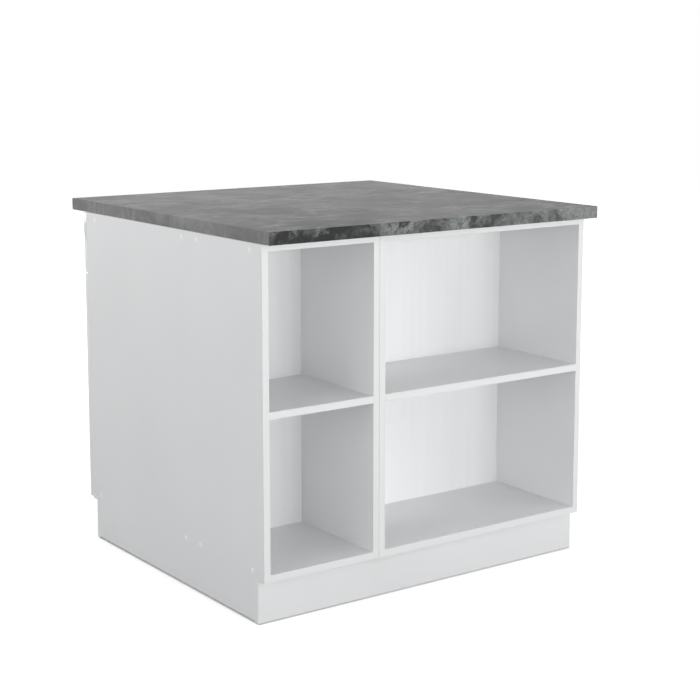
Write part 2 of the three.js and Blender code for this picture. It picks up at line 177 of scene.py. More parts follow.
def copyOfNode(node):
    # a merged copy of a CAD mesh, with the triangles of each flat joined again
    source = frame["nodes"][node]
    piece = bpy.data.objects.new(node + "_copy", source.data.copy())
    bpy.context.scene.collection.objects.link(piece)
    piece.data.materials.clear()
    selectOnly(piece)
    bpy.ops.mesh.customdata_custom_splitnormals_clear()
    bpy.ops.object.shade_flat()
    bpy.ops.object.mode_set(mode="EDIT")
    bpy.ops.mesh.select_all(action="SELECT")
    bpy.ops.mesh.remove_doubles(threshold=0.00001)
    bpy.ops.mesh.dissolve_limited(angle_limit=math.radians(0.5))
    bpy.ops.object.mode_set(mode="OBJECT")
    return piece


def finishPiece(piece, name, body, replaced=()):
    selectOnly(piece)
    bpy.ops.object.transform_apply(location=True, rotation=True, scale=True)
    piece.name = name
    piece.data.name = name
    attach(piece, body)
    if replaced:
        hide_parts(*replaced)


def joinCopies(master, places):
    # one copy of the master's mesh at each place, turned from +Z to the given way, as one piece
    copies = []
    for spot, way in places:
        copy = bpy.data.objects.new(master.name + "_copy", master.data.copy())
        bpy.context.scene.collection.objects.link(copy)
        copy.location = spot
        copy.rotation_euler = Vector(way).to_track_quat("Z", "Y").to_euler()
        copies.append(copy)
    selectOnly(*copies)
    bpy.ops.object.transform_apply(location=True, rotation=True, scale=True)
    bpy.ops.object.join()
    return copies[0]


# camera

cameraView = {
    "place": (-2.1521, -3.0957, 1.2081),
    "turn": 35.61,  # degrees from +Y towards +X
    "tilt": 9.0,  # degrees below the horizon
    "lens": 80.75,
    "sensor": 36,  # millimetres, as the lens
    "shiftY": -0.075,
}
bpy.ops.object.camera_add(
    location=cameraView["place"],
    rotation=(math.radians(90 - cameraView["tilt"]), 0, math.radians(-cameraView["turn"])),
)
camera = bpy.context.object
camera.data.lens = cameraView["lens"]
camera.data.sensor_width = cameraView["sensor"]
camera.data.shift_y = cameraView["shiftY"]
bpy.context.scene.camera = camera


# floor, backdrop and light

studio = {
    "floorSize": 16,
    "floorSeen": "#F2F2F2",  # the paint as the camera and reflections see it
    "floorBounce": "#B8B8B8",  # and as it lights the object from below
    "floorLift": 0.40,  # added for the camera and for reflections, so the floor reads white
    # the lift is cut under the island's footprint, so the floor there reads darker: painted shade on top of
    # its real shade
    "underIsland": 0.30,  # share of that under the island, whose foot then shows as a soft grey line
    "footBlend": 0.001,  # how sharply that starts, as a share of the island's half width
    "whiteFrom": 0.8,  # metres from the middle, where the floor starts to fade to plain white
    "whiteAt": 3.2,  # and where it has become that
    "fill": 0.08,  # the world's own light
    "aim": (0, 0, 0.45),  # where every lamp points
    # each lamp is a wide softbox, so that none of them burns a white spot into the gloss fronts
    "lamps": {
        "front": {"place": (0, -6, 1.0), "size": (4.4, 1.8), "power": 167},
        "front_left": {"place": (-5, -3.2, 2), "size": (3.0, 3.0), "power": 55},
        "front_right": {"place": (4.4, -4.6, 2.3), "size": (3.6, 3.6), "power": 138},
        "left": {"place": (-4.8, -0.5, 2.6), "size": (3.2, 3.2), "power": 62},
        "overhead": {"place": (0, 0.5, 5), "size": (4.0, 4.0), "power": 94},
        "back": {"place": (-0.8, 6.2, 1.3), "size": (6.0, 2.4), "power": 168},
        "back_right": {"place": (2.3, 2.0, 0.65), "size": (1.2, 1.2), "power": 10},
        "right": {"place": (6.2, 1.4, 1.9), "size": (3.2, 3.2), "power": 78},
    },
}


def seenPlainly(tree):
    # 1 where the camera or a reflection looks, 0 for light that bounces
    rays = addNode(tree, "ShaderNodeLightPath")
    either = addNode(tree, "ShaderNodeMath", {"operation": "MAXIMUM"}, {
        0: rays.outputs["Is Camera Ray"], 1: rays.outputs["Is Glossy Ray"]})
    every = addNode(tree, "ShaderNodeMath", {"operation": "MAXIMUM"}, {
        0: either.outputs[0], 1: rays.outputs["Is Transmission Ray"]})
    return every.outputs[0]


def clearOfIsland(tree, place, share):
    # the whole share where the floor is open, and less of it under the island
    low = [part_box("side_panel_left")[0].x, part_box("plinth_shelf_side")[0].y]
    high = [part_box("side_panel_right")[1].x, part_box("plinth_cupboard_side")[1].y]
    middle = [(a + b) / 2 for a, b in zip(low, high)]
    half = [(b - a) / 2 for a, b in zip(low, high)]
    moved = addNode(tree, "ShaderNodeVectorMath", {"operation": "SUBTRACT"}, {0: place, 1: (*middle, 0)})
    sized = addNode(tree, "ShaderNodeVectorMath", {"operation": "DIVIDE"}, {
        0: moved.outputs[0], 1: (*half, 1)})
    folded = addNode(tree, "ShaderNodeVectorMath", {"operation": "ABSOLUTE"}, {0: sized.outputs[0]})
    sides = addNode(tree, "ShaderNodeSeparateXYZ", {}, {"Vector": folded.outputs[0]})
    farther = addNode(tree, "ShaderNodeMath", {"operation": "MAXIMUM"}, {
        0: sides.outputs["X"], 1: sides.outputs["Y"]})
    # less lift inside the island's footprint: painted shade under the island, on top of the real shade there
    beyond = addNode(tree, "ShaderNodeMapRange", {}, {
        "Value": farther.outputs[0], "From Min": 1 - studio["footBlend"], "From Max": 1.0,
        "To Min": studio["underIsland"], "To Max": 1.0})
    openFloor = addNode(tree, "ShaderNodeMath", {"operation": "MULTIPLY"}, {
        0: beyond.outputs["Result"], 1: share})
    return openFloor.outputs[0]


def makeStudio():
    bpy.ops.mesh.primitive_plane_add(size=studio["floorSize"], location=(0, 0, 0))
    floor = bpy.context.object
    floor.name = "floor"
    material, tree, shader, place = newMaterial("painted_studio_floor")
    seen = seenPlainly(tree)
    paint = addNode(tree, "ShaderNodeMix", {"data_type": "RGBA"}, {
        "Factor": seen, 6: linear(studio["floorBounce"]), 7: linear(studio["floorSeen"])})
    tree.links.new(paint.outputs[2], shader.inputs["Base Color"])
    shader.inputs["Roughness"].default_value = 0.9
    shader.inputs["Specular IOR Level"].default_value = 0.0
    shader.inputs["Emission Color"].default_value = (1, 1, 1, 1)
    distance = addNode(tree, "ShaderNodeVectorMath", {"operation": "LENGTH"}, {0: place})
    outward = addNode(tree, "ShaderNodeMapRange", {"interpolation_type": "SMOOTHSTEP"}, {
        "Value": distance.outputs["Value"], "From Min": studio["whiteFrom"], "From Max": studio["whiteAt"],
        "To Min": studio["floorLift"], "To Max": 1.0})
    lift = addNode(tree, "ShaderNodeMath", {"operation": "MULTIPLY"}, {
        0: clearOfIsland(tree, place, seen), 1: outward.outputs["Result"]})
    tree.links.new(lift.outputs[0], shader.inputs["Emission Strength"])
    floor.data.materials.append(material)

    world = bpy.context.scene.world or bpy.data.worlds.new("studio")
    bpy.context.scene.world = world
    world.use_nodes = True
    tree = world.node_tree
    tree.nodes.clear()
    strength = addNode(tree, "ShaderNodeMapRange", {}, {"To Min": studio["fill"], "To Max": 1.0})
    tree.links.new(seenPlainly(tree), strength.inputs["Value"])
    sky = addNode(tree, "ShaderNodeBackground", {}, {"Color": (1, 1, 1, 1), "Strength": strength.outputs[0]})
    addNode(tree, "ShaderNodeOutputWorld", {}, {"Surface": sky.outputs["Background"]})

    for name, lamp in studio["lamps"].items():
        aim = Vector(studio["aim"]) - Vector(lamp["place"])
        bpy.ops.object.light_add(type="AREA", location=lamp["place"],
                                 rotation=aim.to_track_quat("-Z", "Y").to_euler())
        light = bpy.context.object
        light.name = name + "_softbox"
        light.data.shape = "RECTANGLE"
        light.data.size, light.data.size_y = lamp["size"]
        light.data.energy = lamp["power"]

    bpy.context.scene.view_settings.view_transform = "Standard"


makeStudio()
print("studio ready")


# materials of the boards

def whiteMelamine(name, low, high):
    # resin-soaked decor paper pressed on chipboard with a fine pearl plate: an even semi-matt
    # white whose tiny grain breaks up the highlights
    material, tree, shader, place = newMaterial(name)
    clouds = addNode(tree, "ShaderNodeTexNoise", {}, {"Vector": place, "Scale": 1 / 0.300, "Detail": 3})
    # the real grain is about 0.4 mm, drawn at 1.5 mm so that it shows
    grain = addNode(tree, "ShaderNodeTexNoise", {}, {"Vector": place, "Scale": 1 / 0.0015, "Detail": 2})
    coverSurface(tree, shader, tint=(clouds, [(0.35, low), (0.65, high)]),
                 sheen=(grain, 0.38, 0.50), relief=(grain, 0.5, 0.00004))
    shader.inputs["IOR"].default_value = 1.55
    shader.inputs["Specular IOR Level"].default_value = 0.35
    return material


def whiteEdgeBand(name, low, high):
    # extruded ABS strip, glued on and scraped flush: smoother than the face, with faint blotches
    # where the scraper ran
    material, tree, shader, place = newMaterial(name)
    blotches = addNode(tree, "ShaderNodeTexNoise", {}, {"Vector": place, "Scale": 1 / 0.004, "Detail": 2})
    coverSurface(tree, shader, tint=(blotches, [(0.3, low), (0.7, high)]), sheen=(blotches, 0.26, 0.36))
    shader.inputs["IOR"].default_value = 1.54
    return material


def glueLine():
    # hot-melt glue squeezed to a hair line between band and board, a shade yellower and darker
    material, tree, shader, place = newMaterial("hot_melt_glue_line")
    blotches = addNode(tree, "ShaderNodeTexNoise", {}, {"Vector": place, "Scale": 1 / 0.008, "Detail": 2})
    coverSurface(tree, shader, tint=(blotches, [(0.3, "#BDB9AE"), (0.7, "#CFCCC2")]))
    shader.inputs["Roughness"].default_value = 0.55
    return material


def chipboardCore():
    # sawn chipboard: pressed wood chips of 1 to 5 mm, pale tan with darker bark flecks, quite rough
    material, tree, shader, place = newMaterial("chipboard_sawn_edge")
    chips = addNode(tree, "ShaderNodeTexVoronoi", {}, {"Vector": place, "Scale": 1 / 0.0035})
    flecks = addNode(tree, "ShaderNodeTexNoise", {}, {"Vector": place, "Scale": 1 / 0.002, "Detail": 4})
    mixed = addNode(tree, "ShaderNodeMix", {"data_type": "FLOAT"}, {
        "Factor": 0.45, 2: chips.outputs["Color"], 3: flecks.outputs["Fac"]})
    coverSurface(tree, shader, tint=(mixed, [(0.2, "#7E6140"), (0.45, "#B3936A"), (0.8, "#D6BC93")]),
                 relief=(mixed, 0.6, 0.0003))
    shader.inputs["Roughness"].default_value = 0.85
    return material


def lacqueredHardboard():
    # thin high-density fibreboard, white lacquer put on by rollers: faint upright roller lines and a
    # softer sheen than the boards
    material, tree, shader, place = newMaterial("hdf_white_lacquer")
    stretch = addNode(tree, "ShaderNodeMapping", {}, {
        "Vector": place, "Scale": (1 / 0.012, 1 / 0.012, 1 / 0.5)})
    lines = addNode(tree, "ShaderNodeTexNoise", {}, {
        "Vector": stretch.outputs["Vector"], "Scale": 1.0, "Detail": 3})
    fibres = addNode(tree, "ShaderNodeTexNoise", {}, {"Vector": place, "Scale": 1 / 0.003, "Detail": 3})
    coverSurface(tree, shader, tint=(lines, [(0.3, "#EBECED"), (0.7, "#EEEFF0")]),
                 sheen=(fibres, 0.46, 0.60), relief=(lines, 0.1, 0.00003))
    return material


melamine = whiteMelamine("melamine_white_pearl", "#E9EAEB", "#ECEDEE")
# the plinth's copy of the white melamine is painted darker: painted shade for the plinth, low down and set
# back
plinthShadedMelamine = whiteMelamine("melamine_white_plinth_painted_shade", "#DADBDC", "#DDDEDF")
edgeBand = whiteEdgeBand("abs_edge_band_white", "#DDDEDE", "#E0E1E1")
plinthBand = whiteEdgeBand("abs_edge_band_plinth", "#E8E9E9", "#EBECEC")
glue = glueLine()
chipboard = chipboardCore()
hardboard = lacqueredHardboard()
print("materials of boards ready")


# materials of the fronts and fittings

def glossLaminate(name, low, high, specular, coat):
    # acrylic-lacquered laminate, cured by lamp: a deep wet gloss over white, with the very slow
    # waviness that a board's face gives to reflections
    material, tree, shader, place = newMaterial(name)
    drift = addNode(tree, "ShaderNodeTexNoise", {}, {"Vector": place, "Scale": 1 / 0.400, "Detail": 2})
    haze = addNode(tree, "ShaderNodeTexNoise", {}, {"Vector": place, "Scale": 1 / 0.0012, "Detail": 2})
    wave = addNode(tree, "ShaderNodeTexNoise", {}, {"Vector": place, "Scale": 1 / 0.014, "Detail": 2})
    coverSurface(tree, shader, tint=(drift, [(0.35, low), (0.65, high)]),
                 sheen=(haze, 0.05, 0.09), relief=(wave, 0.25, 0.00003))
    shader.inputs["IOR"].default_value = 1.49
    shader.inputs["Specular IOR Level"].default_value = specular
    shader.inputs["Coat Weight"].default_value = coat
    shader.inputs["Coat Roughness"].default_value = 0.03
    return material


def plainMetal(name, low, high, roughLow, roughHigh, lines):
    # bare or plated metal: colour is even, and the finish shows in how the highlight is spread.
    # lines is the real size in metres of the finishing marks along x, y and z
    material, tree, shader, place = newMaterial(name)
    stretch = addNode(tree, "ShaderNodeMapping", {}, {
        "Vector": place, "Scale": tuple(1 / size for size in lines)})
    marks = addNode(tree, "ShaderNodeTexNoise", {}, {
        "Vector": stretch.outputs["Vector"], "Scale": 1.0, "Detail": 4})
    coverSurface(tree, shader, tint=(marks, [(0.3, low), (0.7, high)]), relief=(marks, 0.35, 0.00003))
    sheen = addNode(tree, "ShaderNodeMapRange", {}, {
        "Value": marks.outputs["Fac"], "From Min": 0.3, "From Max": 0.7,
        "To Min": roughLow, "To Max": roughHigh})
    tree.links.new(sheen.outputs["Result"], shader.inputs["Roughness"])
    shader.inputs["Metallic"].default_value = 1.0
    return material


def mouldedPlastic(name, low, high, roughness, grainSize, depth, soft=0.0):
    # moulded plastic: even colour, and the sheen of the mould's own eroded surface. soft is the
    # share of light that sinks in, as it does in unfilled nylon and silicone
    material, tree, shader, place = newMaterial(name)
    grain = addNode(tree, "ShaderNodeTexNoise", {}, {"Vector": place, "Scale": 1 / grainSize, "Detail": 3})
    coverSurface(tree, shader, tint=(grain, [(0.3, low), (0.7, high)]),
                 sheen=(grain, roughness - 0.05, roughness + 0.05), relief=(grain, 0.4, depth))
    shader.inputs["Subsurface Weight"].default_value = soft
    shader.inputs["Subsurface Scale"].default_value = 0.002
    return material


glossFace = glossLaminate("high_gloss_laminate_face", "#E9EBEB", "#ECEDED", 0.5, 0.6)
# the strip round the edges is a shade duller than the face
glossEdge = glossLaminate("high_gloss_edge_band", "#E6E8E8", "#E9EBEB", 0.42, 0.3)
# stainless bar, ground with a belt while it turns, so the marks run round it
satinSteel = plainMetal("stainless_steel_satin_ground", "#8E8E8C", "#A4A4A2", 0.24, 0.38,
                        (0.0005, 0.02, 0.02))
# pressed steel strip, tumbled and nickel plated: bright with a soft bloom
nickelPlate = plainMetal("nickel_plate_on_pressed_steel", "#B7B6B2", "#C5C4C0", 0.18, 0.28,
                         (0.003, 0.003, 0.003))
# screws out of the zinc bath, a little bluish and cloudy
zincPlate = plainMetal("zinc_plate_on_screws", "#B4B8BC", "#C9CCCE", 0.26, 0.38, (0.002, 0.002, 0.002))
# rolled steel profile with a baked epoxy coat, whose skin is finely rippled
epoxyCoat = mouldedPlastic("epoxy_coated_steel_white", "#E8E8E5", "#ECECE9", 0.32, 0.0018, 0.00003)
nylon = mouldedPlastic("nylon_moulded_natural_white", "#E4E3DC", "#EAE9E3", 0.38, 0.0012, 0.00002, 0.2)
capPlastic = mouldedPlastic("polypropylene_moulded_cap", "#FAFBFB", "#FCFDFD", 0.30, 0.0010, 0.00002)
glidePlastic = mouldedPlastic("polyethylene_moulded_glide", "#CBCCCC", "#D2D3D3", 0.45, 0.0015, 0.00002)
silicone = mouldedPlastic("silicone_bumper_clear", "#DDE2E2", "#E6EAEA", 0.22, 0.0015, 0.00001, 0.4)
print("materials of fronts and fittings ready")


# small fittings that repeat

# where the frame has its zero, in millimetres from the left side and from the shelf side's edges
frameZero = (457, 420)


def at(x, y, z):
    # island millimetres, as the sizes below give them, to the frame's metres
    return Vector(((x - frameZero[0]) / 1000, (y - frameZero[1]) / 1000, z / 1000))


screwMake = {
    "large": {"radius": 0.0035, "rise": 0.0006},
    "small": {"radius": 0.0027, "rise": 0.0005},
    "edge": 0.6,  # the rim's rounding, as a share of the rise
    "crossLength": 1.25,  # the cross's blades, as shares of the radius
    "crossWidth": 0.26,
    "crossDepth": 1.3,  # and of the rise
}


def makeScrewHead(name, size):
    # a flat cross-head screw, seen from its head; the rest is in the wood
    radius, rise = size["radius"], size["rise"]
    bpy.ops.mesh.primitive_cylinder_add(vertices=28, radius=radius, depth=2 * rise, location=(0, 0, 0))
    head = bpy.context.object
    head.name = name
    softenEdges(head, rise * screwMake["edge"], 3, 60)
    smoothRounds(head)
    for turn in (0, quarterTurn):
        bpy.ops.mesh.primitive_cube_add(size=1, location=(0, 0, rise), rotation=(0, 0, turn))
        blade = bpy.context.object
        blade.scale = (radius * screwMake["crossLength"], radius * screwMake["crossWidth"],
                       rise * screwMake["crossDepth"])
        bpy.ops.object.transform_apply(location=True, rotation=True, scale=True)
        applyModifier(head, "BOOLEAN", operation="DIFFERENCE", object=blade, solver="EXACT")
        bpy.data.objects.remove(blade)
    head.data.materials.clear()
    head.data.materials.append(zincPlate)
    return head


discRim = 0.45  # width of a disc's rim, as a share of its radius


def makeDisc(name, radius, depth, edge, material, crown=0.0):
    # a round moulded part with a soft rim, and a face that is flat or slightly crowned
    bpy.ops.mesh.primitive_cylinder_add(vertices=40, radius=radius, depth=depth, location=(0, 0, 0))
    disc = bpy.context.object
    disc.name = name
    pickFaces(disc, lambda way: way.z > squarely)
    bpy.ops.mesh.inset(thickness=radius * discRim, depth=crown)
    softenEdges(disc, edge, 3)
    smoothRounds(disc)
    disc.data.materials.append(material)
    return disc


# the side panels, with their outer face and middle in millimetres and the way that face looks
sidePanels = {
    "side_panel_left": {"end": "left", "outer": 0, "middle": 8, "side": -1},
    "side_panel_right": {"end": "right", "outer": 900, "middle": 892, "side": 1},
}
# the cupboards' insides in millimetres: each wall with the way it looks, and the loose shelf's underside
cupboards = {
    "wide_cupboard": {
        "walls": {"side_panel_left": (16, 1), "wide_cupboard_divider": (584, -1)},
        "shelfUnder": 380,
    },
    "narrow_cupboard": {
        "walls": {"narrow_cupboard_divider": (616, 1), "side_panel_right": (884, -1)},
        "shelfUnder": 448.5,
    },
}
coverCaps = {
    "radius": 0.0065,
    "depth": 0.0012,
    "crown": 0.0006,
    "edgeRadius": 0.0003,
    "sunk": 0.0001,
    "gap": 0.0001,
    "rows": (800, 115),  # millimetres above the floor
    "columns": (47, 265, 329, 753),  # millimetres from the shelf side's edges
}
shelfPins = {
    "radius": 0.0024,
    "reach": 0.009,
    "collarRadius": 0.0042,
    "collar": 0.0014,
    "edgeRadius": 0.0003,
}
shelfHoles = {
    "radius": 0.0025,
    "depth": 0.010,
    "pitch": 32,
    "steps": (2, 1, -1, -2),  # the free holes of a row, counted from the one with the pin
    "columns": (321, 736),
}


def coverCapPlaces(outer):
    # middle of each cap's seat on a side panel's outer face
    return [at(outer, y, z) for z in coverCaps["rows"] for y in coverCaps["columns"]]


def pinHeight(cupboard):
    # the loose shelf lies on the pins
    return cupboard["shelfUnder"] - shelfPins["radius"] * 1000


def boreBoard(piece, spots, radius, depth):
    # sinks round holes along x into a board at the given spots on its face
    cutters = []
    for spot in spots:
        bpy.ops.mesh.primitive_cylinder_add(vertices=32, radius=radius, depth=2 * depth,
                                            location=spot, rotation=(0, quarterTurn, 0))
        cutters.append(bpy.context.object)
    selectOnly(*cutters)
    bpy.ops.object.join()
    cutter = cutters[0]
    bpy.ops.object.transform_apply(location=True, rotation=True, scale=True)
    applyModifier(piece, "BOOLEAN", operation="DIFFERENCE", object=cutter, solver="EXACT")
    bpy.data.objects.remove(cutter)


# boards of the carcass and the drawer box

boardMake = {
    "edgeRadius": 0.0005,
    "bandThickness": 0.0008,
    "glueThickness": 0.0002,
    "seamGap": 0.0003,  # each of two boards that stand back to back keeps this off the other
    "panelEdgeRadius": 0.0002,  # the thin back boards and the drawer's base
}

# how far a board that reaches the floor ends above it
floorGaps = {
    "side_panel_left": 0.0050,
    "side_panel_right": 0.0050,
    "plinth_shelf_side": 0.0018,
    "plinth_cupboard_side": 0.0018,
}
# the way each upright looks at the one that it stands back to back with
seamSides = {
    "narrow_bay_divider": 1,
    "wide_bay_divider": -1,
    "wide_cupboard_divider": 1,
    "narrow_cupboard_divider": -1,
}

# the sides of each board that carry an edge band
bandedSides = {
    "side_panel_left": "-y +y -z +z",
    "side_panel_right": "-y +y -z +z",
    "plinth_shelf_side": "-x +x",
    "plinth_cupboard_side": "-x +x",
    "narrow_bay_divider": "-y",
    "wide_bay_divider": "-y",
    "wide_cupboard_divider": "+y",
    "narrow_cupboard_divider": "+y",
    "narrow_bay_top": "-y",
    "narrow_bay_shelf": "-y",
    "narrow_bay_bottom": "-y",
    "wide_bay_top": "-y",
    "wide_bay_shelf": "-y",
    "wide_bay_bottom": "-y",
    "wide_cupboard_bottom": "+y",
    "wide_cupboard_front_rail": "+y",
    "wide_cupboard_rear_rail": "",
    "wide_cupboard_shelf": "+y",
    "narrow_cupboard_bottom": "+y",
    "narrow_cupboard_front_rail": "+y",
    "narrow_cupboard_rear_rail": "",
    "narrow_cupboard_shelf": "+y",
    "drawer_side_left": "+z",
    "drawer_side_right": "+z",
    "drawer_back": "+z",
}


def cutBoard(piece, spot, way, **options):
    # cuts all round a board along the flat through spot that is square to way
    selectOnly(piece)
    bpy.ops.object.mode_set(mode="EDIT")
    bpy.ops.mesh.select_all(action="SELECT")
    bpy.ops.mesh.bisect(plane_co=spot, plane_no=way, **options)
    bpy.ops.object.mode_set(mode="OBJECT")


def trimBoard(piece, spot, away):
    # takes off what lies beyond a flat cut through spot, on the side that away points to
    cutBoard(piece, spot, away, use_fill=True, clear_outer=True)


def bandBoard(piece, node, sides):
    # cuts the board's faces along each banded side and gives band, glue line and sawn edges
    # their own materials. a step in a banded side is banded too
    corners = [vertex.co for vertex in piece.data.vertices]
    low = [min(corner[axis] for corner in corners) for axis in range(3)]
    high = [max(corner[axis] for corner in corners) for axis in range(3)]
    broad = min(range(3), key=lambda axis: high[axis] - low[axis])
    # plinth boards take the darker copy of the melamine, whose tone is painted shade
    faceAndBand = (plinthShadedMelamine, plinthBand) if node.startswith("plinth") else (melamine, edgeBand)
    for material in (*faceAndBand, glue, chipboard):
        piece.data.materials.append(material)
    bandSlot, glueSlot, sawnSlot = 1, 2, 3
    band, line = boardMake["bandThickness"], boardMake["glueThickness"]
    banded = []
    for side in sides.split():
        axis = "xyz".index(side[1])
        sign = 1 if side[0] == "+" else -1
        edge = high[axis] if sign > 0 else low[axis]
        banded.append((axis, sign, edge))
        for depth in (band, band + line):
            cut = [0, 0, 0]
            cut[axis] = edge - sign * depth
            across = [0, 0, 0]
            across[axis] = 1
            cutBoard(piece, cut, across)
    for face in piece.data.polygons:
        if abs(face.normal[broad]) < squarely:
            face.material_index = sawnSlot
        for axis, sign, edge in banded:
            depth = (edge - face.center[axis]) * sign
            if depth < band or face.normal[axis] * sign > squarely:
                face.material_index = bandSlot
            elif depth < band + line and face.material_index != bandSlot:
                face.material_index = glueSlot


def boreForFittings(piece, node):
    # seats of the cover caps on the outer faces, and rows of shelf holes inside the cupboards
    if node in sidePanels:
        seat = coverCaps["radius"] + coverCaps["gap"]
        places = coverCapPlaces(sidePanels[node]["outer"])
        boreBoard(piece, places, seat, coverCaps["crown"] + coverCaps["depth"])
    for cupboard in cupboards.values():
        if node in cupboard["walls"]:
            x = cupboard["walls"][node][0]
            levels = [pinHeight(cupboard) + step * shelfHoles["pitch"] for step in shelfHoles["steps"]]
            spots = [at(x, y, z) for y in shelfHoles["columns"] for z in levels]
            boreBoard(piece, spots, shelfHoles["radius"], shelfHoles["depth"])


def makeBoards():
    for node, sides in bandedSides.items():
        piece = copyOfNode(node)
        if node in floorGaps:
            trimBoard(piece, (0, 0, floorGaps[node]), (0, 0, -1))
        if node in seamSides:
            side = seamSides[node]
            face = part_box(node)[1 if side > 0 else 0].x
            trimBoard(piece, (face - side * boardMake["seamGap"], 0, 0), (side, 0, 0))
        bandBoard(piece, node, sides)
        boreForFittings(piece, node)
        softenEdges(piece, boardMake["edgeRadius"])
        finishPiece(piece, node + "_board", bodyOf(node), [node])


makeBoards()
print("boards made")

for node in ("wide_back_board", "narrow_back_board", "drawer_base"):
    panel = copyOfNode(node)
    panel.data.materials.append(hardboard)
    softenEdges(panel, boardMake["panelEdgeRadius"])
    finishPiece(panel, node + "_panel", bodyOf(node), [node])
print("back boards and drawer base made")


# worktop

worktopMake = {
    "edgeRadius": 0.0008,
    "cloud": 0.260,  # metres across one cloud of the pattern
    "mottle": 0.045,
    "wisp": 0.150,
    "wispWidth": 0.075,  # how far from its middle value the noise of the wisps still draws one
    "patch": 0.090,  # the stretches over which wisps fade in and out
    "warp": 0.200,  # the slow drift that bends all of it
    "push": 0.12,  # and how far
    "grain": 0.0034,
}

# tones of the print on the sheet and on the strips that cover its edges. The slope along x and y that
# ends each look is a painted sheen: the colour pales where light and sheen fall more strongly. The long
# edges' darker tones are partly the print's own dark clouds and partly painted shade, for the less light
# that they get than the face
slateLooks = {
    "face": {"dark": "#656565", "middle": "#777777", "pale": "#909090", "wisp": "#A5A5A5",
             "wispShare": 0.50, "speckle": 0.16, "roughness": 0.60, "paintedSheenSlope": (0.0, 0.22)},
    # the long edges: darker than the face, partly by their print and partly by painted shade
    "long_edge_painted_shade": {"dark": "#2B2D2C", "middle": "#3B3D3C", "pale": "#818482", "wisp": "#9DA19F",
                  "wispShare": 0.60, "speckle": 0.46, "roughness": 0.60, "paintedSheenSlope": (0.33, 0.0)},
    "end_edge": {"dark": "#6C6C6C", "middle": "#7C7C7C", "pale": "#939393", "wisp": "#A7A7A7",
                 "wispShare": 0.45, "speckle": 0.14, "roughness": 0.58, "paintedSheenSlope": (0.0, 0.10)},
}


